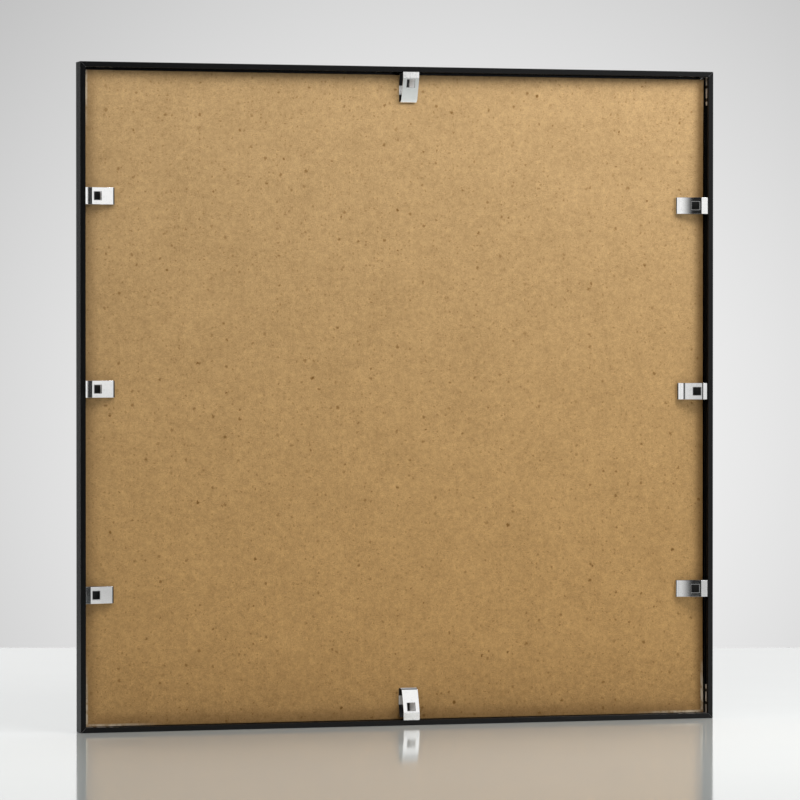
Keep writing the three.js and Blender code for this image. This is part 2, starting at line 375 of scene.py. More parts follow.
def rail_black(half_length):
    """Satin black with fine die lines, faint rubbed patches and bare metal at the sawn mitres."""
    material, wire, shader = new_material("rail_black_anodised", IOR=1.33)
    place = wire.node("ShaderNodeAttribute", {"attribute_name": "own_place"}).out("Vector")
    parts = wire.node("ShaderNodeSeparateXYZ", {}, {"Vector": place})
    die_lines = place.stretch(DIE_LINE_SCALE).noise(1.0, detail=3.0, roughness=0.6)
    rubbed = place.stretch(RUB_SCALE).noise(1.0, detail=4.0, roughness=0.65)
    specks = place.noise(SCUFF_SCALE, detail=1.0).rise(0.72, 0.80)
    from_mitre = (half_length - parts.out("Z")) - wire.math("ABSOLUTE", parts.out("X"))
    bare = from_mitre.rise(SAWN_START, SAWN_END)
    wear = rubbed.rise(0.58, 0.80) * 0.35 + specks * 0.30 + die_lines.rise(0.55, 0.75) * 0.12
    black = wear.blend(BLACK_ANODISED, SCUFFED_BLACK)
    bump = wire.node("ShaderNodeBump", {},
                     {"Strength": 0.20, "Distance": DIE_LINE_DEPTH, "Height": die_lines})
    feed(shader, Base_Color=bare.blend(black, BARE_ALUMINIUM), Metallic=bare * 0.9, Normal=bump,
         Roughness=die_lines * 0.08 + rubbed * 0.10 + SATIN + bare * 0.12)
    return material


frame_width = cad_high.x - cad_low.x
frame_height = cad_high.z - cad_low.z
middle_height = (cad_high.z + cad_low.z) / 2
channel_middle = cad_low.y + (CHANNEL_START + CHANNEL_END) / 2
crimp_middle = (0.0, channel_middle, RAIL_WIDTH + CRIMP_PROUD - CRIMP_SIZE[2] / 2)
mitre_relief = MITRE_GAP / math.sqrt(2)
SIDES = {
    "bottom": (0.0, frame_width, (0.0, 0.0, cad_low.z)),
    "right": (-math.pi / 2, frame_height, (cad_high.x, 0.0, middle_height)),
    "top": (math.pi, frame_width, (0.0, 0.0, cad_high.z)),
    "left": (math.pi / 2, frame_height, (cad_low.x, 0.0, middle_height)),
}

crimp = crimp_pattern()
section = rail_section()
mitred_rail = rail_tree()
for side, (turn, length, place) in SIDES.items():
    rail = grown(mitred_rail, section, "black_rail_" + side, {
        "Length": length, "Mitre Relief": mitre_relief, "Back": cad_low.y, "Crimp": crimp,
        "Crimp Near": CRIMP_NEAR, "Crimp Far": CRIMP_FAR, "Crimp Middle": crimp_middle,
        "Turn": turn, "Place": place, "Material": rail_black(length / 2),
    })
    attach(rail, "frame")
    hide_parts("rail_" + side)
bpy.data.objects.remove(crimp)

# Corner keys
# Four angles bent from zinc plated steel strip. One leg lies in each rail's key channel and is held
# by the crimps, and between the crimps the strip shows through the open channel.
KEY_LEG = 0.0264
KEY_OUTER = 0.00228
KEY_INNER = 0.00388
KEY_STRIP = 0.0037
KEY_BEND = 0.0011
KEY_BEND_STEPS = 8
KEY_EDGE = 0.0006
KEY_BURR = 0.0001
ZINC = (0.78, 0.745, 0.715, 1.0)
DULL_ZINC = (0.50, 0.47, 0.45, 1.0)
SPANGLE_SCALE = 900.0
CLOUD_SCALE = 240.0
PITTING_SCALE = 3800.0
PITTING_DEPTH = 0.00005


def path_mesh(name, points):
    """A mesh of one open line of edges."""
    mesh = bpy.data.meshes.new(name)
    mesh.from_pydata(points, [(i, i + 1) for i in range(len(points) - 1)], [])
    return mesh


def bent_strip(path, bend, width, thickness, edge):
    """A strip of metal with rounded edges, bent along a path that lies flat; its width is across the path."""
    curve = path.node("GeometryNodeMeshToCurve", {}, {"Mesh": path})
    bent = path.node("GeometryNodeFilletCurve", {"mode": "POLY"},
                     {"Curve": curve, "Count": KEY_BEND_STEPS, "Radius": bend, "Limit Radius": True})
    flat = path.node("GeometryNodeSetCurveNormal", {"mode": "Z_UP"}, {"Curve": bent})
    section = path.node("GeometryNodeCurvePrimitiveQuadrilateral", {"mode": "RECTANGLE"},
                        {"Width": thickness, "Height": width})
    eased = path.node("GeometryNodeFilletCurve", {"mode": "POLY"},
                      {"Curve": section, "Count": ROUND_STEPS, "Radius": edge})
    at = path.node("ShaderNodeSeparateXYZ", {}, {"Vector": path.node("GeometryNodeInputPosition")})
    sided = path.node("GeometryNodeStoreNamedAttribute", {"data_type": "FLOAT"},
                      {"Geometry": eased, "Name": "side", "Value": at.out("X") / thickness})
    return path.node("GeometryNodeCurveToMesh", {},
                     {"Curve": flat, "Profile Curve": sided, "Fill Caps": True})


def key_tree():
    tree, given = new_tree("corner_key", {
        "Strip": "Float", "Thickness": "Float", "Edge": "Float", "Bend": "Float", "Depth": "Float",
        "Turn": "Float", "Place": "Vector", "Material": "Material",
    })
    wire = Wire(tree)
    strip = bent_strip(given["Geometry"], given["Bend"], given["Strip"], given["Thickness"], given["Edge"])
    at = wire.node("ShaderNodeSeparateXYZ", {}, {"Vector": wire.node("GeometryNodeInputPosition")})
    laid = wire.node("ShaderNodeCombineXYZ", {},
                     {"X": at.out("X"), "Y": given["Depth"] - at.out("Z"), "Z": at.out("Y")})
    placed = wire.node("GeometryNodeSetPosition", {}, {"Geometry": strip, "Position": laid})
    end_tree(tree, placed, given["Turn"], given["Place"], given["Material"])
    return tree


def key_zinc():
    """Plated steel with a fine spangle, cloudy dull patches and fine pitting."""
    material, wire, shader = new_material("key_zinc_plated", Metallic=0.7)
    place = wire.node("ShaderNodeTexCoord").out("Object")
    spangle = wire.node("ShaderNodeTexVoronoi", {"feature": "F1"}, {"Vector": place, "Scale": SPANGLE_SCALE})
    tone = wire.node("ShaderNodeSeparateXYZ", {}, {"Vector": spangle.out("Color")}).out("X")
    cloud = place.noise(CLOUD_SCALE, detail=4.0, roughness=0.6)
    pitting = place.noise(PITTING_SCALE)
    dull = cloud.rise(0.45, 0.75) * 0.6 + tone * 0.25
    bump = wire.node("ShaderNodeBump", {}, {"Strength": 0.25, "Distance": PITTING_DEPTH, "Height": pitting})
    feed(shader, Base_Color=dull.blend(ZINC, DULL_ZINC), Roughness=dull * 0.25 + 0.45, Normal=bump)
    return material


key_middle = (KEY_OUTER + KEY_INNER) / 2
key_path = path_mesh("key_path", [
    (KEY_LEG, key_middle, 0.0),
    (key_middle, key_middle, 0.0),
    (key_middle, KEY_LEG, 0.0),
])
CORNERS = {
    "bottom_left": (0.0, (cad_low.x, 0.0, cad_low.z)),
    "bottom_right": (-math.pi / 2, (cad_high.x, 0.0, cad_low.z)),
    "top_right": (math.pi, (cad_high.x, 0.0, cad_high.z)),
    "top_left": (math.pi / 2, (cad_low.x, 0.0, cad_high.z)),
}
corner_key = key_tree()
zinc = key_zinc()
for corner, (turn, place) in CORNERS.items():
    key = grown(corner_key, key_path, "zinc_key_" + corner, {
        "Strip": KEY_STRIP, "Thickness": KEY_INNER - KEY_OUTER, "Edge": KEY_EDGE, "Bend": KEY_BEND,
        "Depth": channel_middle, "Turn": turn, "Place": place, "Material": zinc,
    }, edge=KEY_BURR)
    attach(key, "frame")
    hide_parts("corner_key_" + corner)

# Glazing
# One sheet of clear float glass, cut square with its arrises ground. It lies behind the front lip,
# and the clips hold it there through the board.
SHEET_BEND_ANGLE = math.radians(30)
GLASS_ARRIS = 0.0004
GLASS_TINT = (0.965, 0.985, 0.975, 1.0)
WAVE_SCALE = 9.0
WAVE_DEPTH = 0.0004
DUST_SCALE = 1500.0


def sheet(name, node, cells, arris, material, lift=None, arris_steps=1):
    """A sheet in a CAD node's place, in square cells, its arrises broken; lift moves its points back."""
    low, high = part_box(node)
    across = [low.x + (high.x - low.x) * i / cells for i in range(cells + 1)]
    upward = [low.z + (high.z - low.z) * i / cells for i in range(cells + 1)]
    back = [(x, low.y - (lift(x, z) if lift else 0.0), z) for z in upward for x in across]
    row = cells + 1
    faces = [(j * row + i, j * row + i + 1, (j + 1) * row + i + 1, (j + 1) * row + i)
             for j in range(cells) for i in range(cells)]
    mesh = bpy.data.meshes.new("draft_" + name)
    mesh.from_pydata(back, [], faces)
    draft = new_object("draft_" + name, mesh)
    mesh.materials.append(material)
    wall = draft.modifiers.new("thickness", "SOLIDIFY")
    wall.thickness = high.y - low.y
    wall.offset = -1.0
    break_edges(draft, arris, arris_steps)
    made = finished(draft, name, SHEET_BEND_ANGLE)
    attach(made, "frame")
    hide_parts(node)
    return made


def clear_glass():
    """Clear glass with a faint waviness and a few specks of dust."""
    material, wire, shader = new_material("glazing_float_glass", IOR=1.52, Transmission_Weight=1.0)
    shader.inputs["Base Color"].default_value = GLASS_TINT
    place = wire.node("ShaderNodeTexCoord").out("Object")
    waves = place.noise(WAVE_SCALE, detail=1.0)
    dust = place.noise(DUST_SCALE, detail=2.0).rise(0.74, 0.82)
    bump = wire.node("ShaderNodeBump", {}, {"Strength": 0.05, "Distance": WAVE_DEPTH, "Height": waves})
    feed(shader, Roughness=dust * 0.20 + 0.015, Normal=bump)
    return material


glass = sheet("glass_sheet", "glazing", 1, GLASS_ARRIS, clear_glass(), arris_steps=2)

# Insert sheet
# The blank sheet of heavy white paper that fills the frame until a picture takes its place.
# It is cut to the size of the glass and lies loose between the glass and the board.
PAPER_WHITE = (0.86, 0.845, 0.805, 1.0)
PAPER_SHADE = (0.78, 0.76, 0.715, 1.0)
PAPER_ARRIS = 0.00008
FORMATION_SCALE = 190.0
PAPER_FIBRE_SCALE = (900.0, 900.0, 3200.0)
TOOTH_SCALE = 5200.0
TOOTH_DEPTH = 0.00005


def white_paper():
    """Uncoated paper: cloudy sheet formation, fine fibres and a slight tooth."""
    material, wire, shader = new_material("insert_white_paper", Specular_IOR_Level=0.25)
    place = wire.node("ShaderNodeTexCoord").out("Object")
    formation = place.noise(FORMATION_SCALE, detail=5.0, roughness=0.6)
    fibres = place.stretch(PAPER_FIBRE_SCALE).noise(1.0, detail=3.0)
    tooth = place.noise(TOOTH_SCALE, detail=2.0)
    shade = formation.rise(0.35, 0.75) * 0.55 + fibres.rise(0.5, 0.8) * 0.35
    bump = wire.node("ShaderNodeBump", {},
                     {"Strength": 0.2, "Distance": TOOTH_DEPTH, "Height": tooth + fibres})
    feed(shader, Base_Color=shade.blend(PAPER_WHITE, PAPER_SHADE), Roughness=tooth * 0.1 + 0.8, Normal=bump)
    return material


paper = sheet("paper_sheet", "insert_sheet", 1, PAPER_ARRIS, white_paper())

# Back board
# One panel of hardboard, sawn square. The clips press it forward at the middle of each side, and its
# free corners have warped back a little. Its colour carries painted light: a painted sheen pales its upper
# part, painted shade darkens its lower edge and its sides where the rails shade it, and painted
# highlights run along its edges near the corners.
CORNER_WARP = 0.0016
WARP_START = 0.62
BOARD_ARRIS = 0.00035
BOARD_CELLS = 56
BOARD_PALE = (0.690, 0.408, 0.150, 1.0)
BOARD_BROWN = (0.406, 0.229, 0.075, 1.0)
SHEEN_PALE = (0.638, 0.414, 0.190, 1.0)
SHEEN_BROWN = (0.386, 0.239, 0.098, 1.0)
SPECK_BROWN = (0.215, 0.092, 0.008, 1.0)
EDGE_SHADE_BROWN = (0.185, 0.084, 0.018, 1.0)
FLECK_PALE = (0.730, 0.520, 0.270, 1.0)
EDGE_HIGHLIGHT_PALE = (0.800, 0.690, 0.520, 1.0)
SHEEN_TOP = 0.51
CLOUDS_PER_METRE = 26.0
MOTTLE_PER_METRE = 170.0
CLUMPS_PER_METRE = 440.0
GRAIN_PER_METRE = 1250.0
FIBRE_TURNS = (12.0, 57.0, 101.0, 149.0)
FIBRE_SCALE = (240.0, 1700.0, 900.0)
FIBRE_RELIEF = 0.00010
# Bark specks: cells per metre, reach of a speck in its cell, share of cells without one, how dark
SPECK_LAYERS = (
    (44.0, 0.040, 0.60, 1.0),
    (95.0, 0.080, 0.63, 0.74),
    (310.0, 0.150, 0.46, 0.54),
)
SPECK_WANDER_PER_METRE = 520.0
SPECK_WANDER = 0.0026
# Painted shade along the edges, where the rails' shadow falls on the board: the axis, where the shade starts,
# where it is full and how dark it is
PAINTED_EDGE_SHADE = (
    ("X", 0.240, 0.2495, 0.56),
    ("X", -0.237, -0.248, 0.29),
    ("Z", 0.0165, 0.009, 0.28),
    ("Z", 0.495, 0.503, 0.12),
)


def corner_lift(x, z):
    """How far the warped board stands back of flat; nothing at the clips, most at the corners."""
    low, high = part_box("back_board")
    half = (high - low) / 2
    centre = (high + low) / 2
    rise = max(0.0, abs(z - centre.z) / half.z - WARP_START) / (1.0 - WARP_START)
    return CORNER_WARP * rise ** 2 * (abs(x - centre.x) / half.x) ** 2


def hardboard():
    """Pressed wood fibre: mottled tan, matted fibres at every angle, dark bark specks and pale flecks, with
    painted sheen, shade and highlights.
    """
    material, wire, shader = new_material("hardboard_tan", Specular_IOR_Level=0.4)
    place = wire.node("ShaderNodeTexCoord").out("Object")
    parts = wire.node("ShaderNodeSeparateXYZ", {}, {"Vector": place})
    along, upward = parts.out("X"), parts.out("Z")
    face = wire.node("ShaderNodeCombineXYZ", {}, {"X": along, "Y": upward, "Z": parts.out("Y")})
    clouds = face.noise(CLOUDS_PER_METRE, detail=3.0)
    mottle = face.noise(MOTTLE_PER_METRE, detail=4.0, roughness=0.60)
    clumps = face.noise(CLUMPS_PER_METRE, detail=2.0)
    grain = face.noise(GRAIN_PER_METRE, detail=2.0)

    fibres = None
    for number, degrees in enumerate(FIBRE_TURNS):
        turned = wire.node("ShaderNodeMapping", {}, {
            "Vector": face, "Location": (number * 0.7, number * 0.3, 0.0),
            "Rotation": (0.0, 0.0, math.radians(degrees)), "Scale": FIBRE_SCALE})
        strands = turned.noise(1.0, detail=2.0)
        fibres = strands if fibres is None else wire.math("MAXIMUM", fibres, strands)

    wander = face.noise(SPECK_WANDER_PER_METRE, detail=1.0).out("Color")
    ragged = wire.node("ShaderNodeVectorMath", {"operation": "MULTIPLY_ADD"},
                       {0: wander, 1: (SPECK_WANDER, SPECK_WANDER, 0.0), 2: face})
    specks = None
    for scale, reach, rarity, strength in SPECK_LAYERS:
        cells = wire.node("ShaderNodeTexVoronoi", {"voronoi_dimensions": "2D"},
                          {"Vector": ragged, "Scale": scale})
        draw = wire.node("ShaderNodeSeparateXYZ", {}, {"Vector": cells.out("Color")})
        radius = draw.out("Y") * reach + reach * 0.6
        near = (cells.out("Distance") / radius).rise(1.4, 0.4)
        found = near * draw.out("X").rise(rarity, 1.0) * strength
        specks = found if specks is None else wire.math("MAXIMUM", specks, found)

    # Mottled tan, with painted shade darkening it towards the lower edge and a painted sheen paling it
    # towards the top
    mottling = (mottle - 0.5) * 0.90 + (clouds - 0.5) * 0.44
    graining = (clumps - 0.5) * 0.80 + (grain - 0.5) * 1.35
    tone = mottling + graining + 0.5 - upward.rise(0.070, 0.010) * 0.20
    sheened = tone.blend(SHEEN_BROWN, SHEEN_PALE)
    tan = upward.rise(0.0, SHEEN_TOP).blend(tone.blend(BOARD_BROWN, BOARD_PALE), sheened)
    flecked = (fibres.rise(0.70, 0.86) * 0.45).blend(tan, FLECK_PALE)
    speckled = specks.blend(flecked, SPECK_BROWN)

    # Painted shade along the sides and the lower and upper edges, where the rails shade the board
    edge_shade = None
    for axis, start, full, darkness in PAINTED_EDGE_SHADE:
        edge = parts.out(axis).rise(start, full) * darkness
        edge_shade = edge if edge_shade is None else wire.math("MAXIMUM", edge_shade, edge)
    edge_shaded = edge_shade.blend(speckled, EDGE_SHADE_BROWN)

    # Painted highlight along the edges near the corners, where the warped board catches the light, less at
    # the far upper one
    off_x = wire.math("ABSOLUTE", along)
    off_z = wire.math("ABSOLUTE", upward - middle_height)
    side_highlight = off_x.rise(0.2472, 0.2486) * off_z.rise(0.195, 0.240)
    level_highlight = off_z.rise(0.2484, 0.2498) * off_x.rise(0.185, 0.235)
    far_corner = along.rise(0.20, 0.24) * upward.rise(0.30, 0.40)
    edge_highlight = wire.math("MAXIMUM", side_highlight, level_highlight) * mottle.rise(0.30, 0.60) * (0.85 - far_corner * 0.75)
    highlighted = edge_highlight.blend(edge_shaded, EDGE_HIGHLIGHT_PALE)
    relief = fibres * 0.6 + clumps * 0.5 - specks * 0.2
    bump = wire.node("ShaderNodeBump", {}, {"Strength": 0.35, "Distance": FIBRE_RELIEF, "Height": relief})
    feed(shader, Base_Color=highlighted, Roughness=clumps * 0.12 + 0.48, Normal=bump)
    return material


board = sheet("hardboard_back", "back_board", BOARD_CELLS, BOARD_ARRIS, hardboard(), lift=corner_lift)

# Spring clips
# Eight clips bent from bright plated spring steel strip. The tip hooks under a rail's back lip, the leg
# falls to a tight nose, and the foot runs back along the board and presses it forward. A tool in the
# square hole draws the clip out.
CLIP_WIDTH = 0.013
CLIP_STEEL = 0.0005
CLIP_CLEARANCE = 0.00015
CLIP_TIP = 0.0068
CLIP_CURL_START = 0.0016
CLIP_CURL_END = 0.0044
CLIP_SHOULDER = 0.0030
CLIP_DIP = 0.0007
RIDGE_PLACE = 0.86
RIDGE_REACH = 0.05
CLIP_REACH = 0.0234
CLIP_NOSE = 0.0014
CLIP_EASE = 0.0050
CLIP_EASE_ANGLE = math.radians(25)
CLIP_FOOT = 0.0110
CLIP_TOE_RADIUS = 0.0100
CLIP_TOE_ANGLE = math.radians(20)
CLIP_TOE = 0.0060
CLIP_HOLE = 0.0063
CLIP_HOLE_EDGE = 0.0008
CLIP_HOLE_ROUND = 0.0005
CLIP_EDGE = 0.00012
BEND_STEPS = 8
FOLD_STEPS = 14
TOE_STEPS = 6
LEG_STEPS = 60
CURL_STEPS = 20
PUNCH_ROUND_STEPS = 4
BRIGHT_PLATE = (0.86, 0.86, 0.85, 1.0)
GREY_PLATE = (0.66, 0.66, 0.66, 1.0)
PUNCHED_EDGE = (0.42, 0.42, 0.42, 1.0)
FOLD_PAINTED_SHADE = (0.015, 0.015, 0.015, 1.0)
ROLLING_SCALE = (5200.0, 900.0, 45.0)
ROLLING_DEPTH = 0.00003
HAZE_SCALE = 420.0
SPOT_SCALE = 1900.0
FOOT_LIGHT_END = 0.0200
FOOT_LIGHT_BLUR = 0.0004
OPEN_SIDE_LIGHT = (-0.0034, -0.0040)
LIT_STRIP = (0.0002, 0.0014)
PUNCHED_RIM = (0.00045, 0.00025)

board_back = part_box("back_board")[0].y
clip_tip_level = board_back - (cad_low.y + BACK_LIP) - CLIP_CLEARANCE - CLIP_STEEL / 2


def pointing(angle):
    """The direction at an angle in side view."""
    return Vector((math.cos(angle), math.sin(angle)))


def arc(centre, radius, start, end, steps):
    """Points of an arc in side view."""
    return [centre + radius * pointing(start + (end - start) * i / steps) for i in range(steps + 1)]


def clip_lie(lift):
    """Centres of the clip's bends in side view, and how steeply its leg falls from its shoulder."""
    foot_level = CLIP_CLEARANCE + CLIP_STEEL / 2
    shoulder = Vector((CLIP_TIP, clip_tip_level + lift - CLIP_SHOULDER))
    nose = Vector((CLIP_REACH, foot_level + CLIP_NOSE))
    toe = Vector((CLIP_REACH - CLIP_FOOT, foot_level + CLIP_TOE_RADIUS))
    between = nose - shoulder
    fall = math.asin((CLIP_SHOULDER - CLIP_NOSE) / between.length) - math.atan2(between.y, between.x)
    return shoulder, nose, toe, fall


def clip_path(lift, bow, ridge, foot_shift, curl):
    """The middle of the strip: x inwards from the tip, y up from the board; the foot may lie aside."""
    shoulder, nose, toe, fall = clip_lie(lift)
    down = -math.pi / 2
    leg_angle = math.pi / 2 - fall
    outward = pointing(leg_angle)
    bend = arc(shoulder, CLIP_SHOULDER, math.pi / 2, leg_angle, BEND_STEPS)

    # The nose starts as a wide ease and ends as a tight fold that meets the foot
    eased = leg_angle - CLIP_EASE_ANGLE
    ease_drop = CLIP_EASE * (math.sin(leg_angle) - math.sin(eased))
    fold = (CLIP_NOSE * (1.0 + math.sin(leg_angle)) - ease_drop) / (1.0 + math.sin(eased))
    ease_centre = nose + (CLIP_NOSE - CLIP_EASE) * outward
    fold_centre = ease_centre + (CLIP_EASE - fold) * pointing(eased)
    turn = arc(ease_centre, CLIP_EASE, leg_angle, eased, BEND_STEPS)
    turn += arc(fold_centre, fold, eased, down, FOLD_STEPS)[1:]
    rise = arc(toe, CLIP_TOE_RADIUS, down, down - CLIP_TOE_ANGLE, TOE_STEPS)
    end = rise[-1] + CLIP_TOE * pointing(math.pi - CLIP_TOE_ANGLE)

    leg = []
    for share in (i / LEG_STEPS for i in range(1, LEG_STEPS)):
        bulge = bow * 4 * share * (1 - share)
        bulge += ridge * math.exp(-((share - RIDGE_PLACE) / RIDGE_REACH) ** 2)
        leg.append(bend[-1].lerp(turn[0], share) + outward * bulge)

    # A lifted clip's tip dips to pass under the lip, and a low clip's tip lies low as a whole
    dip = CLIP_DIP if lift > 0.0 else -lift
    slope = (lift + dip) / CLIP_TIP
    tip = []
    for inward in (CLIP_CURL_END * i / CURL_STEPS for i in range(CURL_STEPS + 1)):
        curled = (CLIP_CURL_END - max(inward, CLIP_CURL_START)) ** 2 / CLIP_CURL_END * math.tan(curl) / 2
        tip.append(Vector((inward, clip_tip_level - dip + slope * inward + curled)))

    line = tip + bend + leg + turn + rise + [end]
    mesh = path_mesh("clip_path", [(p.x, p.y, 0.0) for p in line])
    fold_start = len(tip + bend + leg)
    shifts = [foot_shift * min(1.0, max(0.0, (i - fold_start) / (len(turn) - 1))) for i in range(len(line))]
    mesh.attributes.new("aside", "FLOAT", "POINT").data.foreach_set("value", shifts)
    return mesh


def clip_tree():
    tree, given = new_tree("spring_clip", {
        "Width": "Float", "Steel": "Float", "Edge": "Float", "Hole": "Float", "Hole Round": "Float",
        "Hole Place": "Vector", "Hole Tilt": "Float", "Board": "Float",
        "Turn": "Float", "Place": "Vector", "Material": "Material",
    })
    wire = Wire(tree)
    strip = bent_strip(given["Geometry"], 0.0, given["Width"], given["Steel"], given["Edge"])

    # A punch with rounded corners cuts the hole square to the leg
    square = wire.node("GeometryNodeCurvePrimitiveQuadrilateral", {"mode": "RECTANGLE"},
                       {"Width": given["Hole"], "Height": given["Hole"]})
    eased = wire.node("GeometryNodeFilletCurve", {"mode": "POLY"},
                      {"Curve": square, "Count": PUNCH_ROUND_STEPS, "Radius": given["Hole Round"]})
    flat = wire.node("GeometryNodeFillCurve", {"mode": "NGONS"}, {"Curve": eased})
    punch_length = given["Steel"] * 4.0
    upright = closed_prism(flat, punch_length)
    drop = wire.node("ShaderNodeCombineXYZ", {}, {"Z": punch_length * -0.5})
    centred = wire.node("GeometryNodeTransform", {}, {"Geometry": upright, "Translation": drop})
    lean = wire.node("ShaderNodeCombineXYZ", {}, {"X": math.pi / 2})
    lying = wire.node("GeometryNodeTransform", {}, {"Geometry": centred, "Rotation": lean})
    tilt = wire.node("ShaderNodeCombineXYZ", {}, {"Z": given["Hole Tilt"]})
    punch = wire.node("GeometryNodeTransform", {},
                      {"Geometry": lying, "Rotation": tilt, "Translation": given["Hole Place"]})
    cut = wire.node("GeometryNodeMeshBoolean", {"operation": "DIFFERENCE", "solver": "EXACT"},
                    {"Mesh 1": strip, "Mesh 2": punch})

    at = wire.node("ShaderNodeSeparateXYZ", {}, {"Vector": wire.node("GeometryNodeInputPosition")})
    aside = wire.node("GeometryNodeInputNamedAttribute", {"data_type": "FLOAT"}, {"Name": "aside"})
    laid = wire.node("ShaderNodeCombineXYZ", {},
                     {"X": at.out("Z") + aside, "Y": given["Board"] - at.out("Y"), "Z": at.out("X")})
    placed = wire.node("GeometryNodeSetPosition", {}, {"Geometry": cut, "Position": laid})
    end_tree(tree, placed, given["Turn"], given["Place"], given["Material"])
    return tree


def bright_plate(foot_painted_light, lit_side, painted_light_start, hole_place, hole_reach):
    """Bright strip with rolling lines, haze and dull spots; inside the fold it is painted dark as shade, but
    for the foot, where painted light makes it pale.
    """
    material, wire, shader = new_material("clip_bright_plated")
    place = wire.node("ShaderNodeAttribute", {"attribute_name": "own_place"}).out("Vector")
    parts = wire.node("ShaderNodeSeparateXYZ", {}, {"Vector": place})
    lines = place.stretch(ROLLING_SCALE).noise(1.0, detail=3.0, roughness=0.6)
    haze = place.noise(HAZE_SCALE, detail=4.0, roughness=0.6)
    spots = place.noise(SPOT_SCALE, detail=2.0).rise(0.70, 0.78)
    dull = haze.rise(0.50, 0.80) * 0.35 + lines.rise(0.45, 0.75) * 0.25 + spots * 0.3
    bump = wire.node("ShaderNodeBump", {}, {"Strength": 0.10, "Distance": ROLLING_DEPTH, "Height": lines})
    side = wire.node("ShaderNodeAttribute", {"attribute_name": "side"}).out("Fac")
    inside = side.rise(0.30, 0.45)
    inward = parts.out("Z")
    # Painted light and shade inside the fold: the foot, and on a lit side a strip across it, take the clip's
    # painted light tone; the rest of the inside is painted dark as shade.
    pale = inward.rise(painted_light_start - FOOT_LIGHT_BLUR, painted_light_start + FOOT_LIGHT_BLUR) \
        * inward.rise(FOOT_LIGHT_END + FOOT_LIGHT_BLUR, FOOT_LIGHT_END - FOOT_LIGHT_BLUR)
    if lit_side:
        across = parts.out("X") * lit_side
        pale = wire.math("MAXIMUM", pale * across.rise(*OPEN_SIDE_LIGHT), across.rise(*LIT_STRIP))
    fold = pale.blend(FOLD_PAINTED_SHADE, (foot_painted_light, foot_painted_light, foot_painted_light, 1.0))
    beside = wire.math("ABSOLUTE", parts.out("X")) - CLIP_HOLE / 2
    beyond = wire.math("ABSOLUTE", inward - hole_place) - hole_reach
    from_hole = wire.math("MAXIMUM", beside, beyond)
    punched = from_hole.rise(*PUNCHED_RIM) * (1.0 - inside)
    bright = punched.blend(dull.blend(BRIGHT_PLATE, GREY_PLATE), PUNCHED_EDGE)
    feed(shader, Base_Color=inside.blend(bright, fold), Normal=bump,
         Metallic=1.0 - inside * 0.7 - punched * 0.6,
         Roughness=dull * 0.14 + 0.08 + inside * 0.4 + punched * 0.2)
    return material


# Each clip's rail, the lift of its shoulder, the bow of its leg, a ridge by its nose, the shift of its
# foot, the curl of its tip in degrees, and the painted light inside the fold: the foot's painted light
# tone, the side that is painted pale and where the painted pale part starts
CLIPS = {
    "left_upper": ("left", 0.0, 0.00030, 0.0, 0.0, 7.5, 0.95, 0, 0.0150),
    "left_middle": ("left", 0.0, 0.00030, 0.0, 0.0, 5.2, 0.95, 0, 0.0150),
    "left_lower": ("left", -0.0010, 0.00010, 0.0, 0.0, 3.0, 0.015, 0, 0.0130),
    "right_upper": ("right", 0.0, 0.00045, 0.0, 0.0, 1.0, 0.015, 0, 0.0130),
    "right_middle": ("right", 0.0011, 0.00005, 0.00012, 0.0, 2.7, 0.015, 0, 0.0130),
    "right_lower": ("right", 0.0, 0.00045, 0.0, 0.0, 1.0, 0.015, 0, 0.0130),
    "top": ("top", 0.0, 0.00020, 0.0, 0.0010, 1.5, 0.95, -1, 0.0130),
    "bottom": ("bottom", 0.0, 0.00030, 0.0, -0.0016, 1.5, 0.85, 1, 0.0130),
}
spring_clip = clip_tree()
for which, (side, lift, bow, ridge, foot_shift, curl, tone, lit_side, painted_light_start) in CLIPS.items():
    shoulder, _, _, fall = clip_lie(lift)
    leg_down = Vector((math.cos(fall), -math.sin(fall)))
    leg_up = Vector((math.sin(fall), math.cos(fall)))
    hole_middle = shoulder + leg_up * CLIP_SHOULDER + leg_down * (CLIP_HOLE_EDGE + CLIP_HOLE / 2)
    low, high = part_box("clip_" + which)
    centre = (low + high) / 2
    tip = {
        "left": (low.x, 0.0, centre.z), "right": (high.x, 0.0, centre.z),
        "top": (centre.x, 0.0, high.z), "bottom": (centre.x, 0.0, low.z),
    }[side]
    plate = bright_plate(tone, lit_side, painted_light_start, hole_middle.x, CLIP_HOLE / 2 * math.cos(fall))
    strip_line = clip_path(lift, bow, ridge, foot_shift, math.radians(curl))
    clip = grown(spring_clip, strip_line, "spring_clip_" + which, {
        "Width": CLIP_WIDTH, "Steel": CLIP_STEEL, "Edge": CLIP_EDGE,
        "Hole": CLIP_HOLE, "Hole Round": CLIP_HOLE_ROUND,
        "Hole Place": (hole_middle.x, hole_middle.y, 0.0), "Hole Tilt": -fall, "Board": board_back,
        "Turn": SIDES[side][0], "Place": tip, "Material": plate,
    })
    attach(clip, which + "_clip")
    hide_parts("clip_" + which)

# Table and light
# A pale glossy table that ends behind the frame, three softboxes above it, and bright screens in a dark
# room for the clips to mirror. Behind the frame hangs a pale backdrop with a soft glow in its middle.
TABLE_BEHIND = 0.905
TABLE_FRONT = 1.3
TABLE_HALF_WIDTH = 1.1
TABLE_WHITE = (0.80, 0.838, 0.82, 1.0)
BACKDROP = 0.196
GLOW = 0.723
GLOW_MIDDLE = (0.0101, -0.0242)
GLOW_REACH = 0.157
# Each softbox: its place, what it is aimed at, its size and its watts
SOFTBOXES = {
    "key": ((0.56, -0.40, 0.80), (0.02, 0.0, 0.28), (0.25, 0.36), 3.1),
    "fill": ((-0.50, -0.32, 0.83), (0.0, 0.0, 0.28), (0.45, 0.45), 1.4),
    "front": ((0.12, -0.50, 0.92), (0.0, 0.0, 0.34), (0.40, 0.40), 2.4),
}
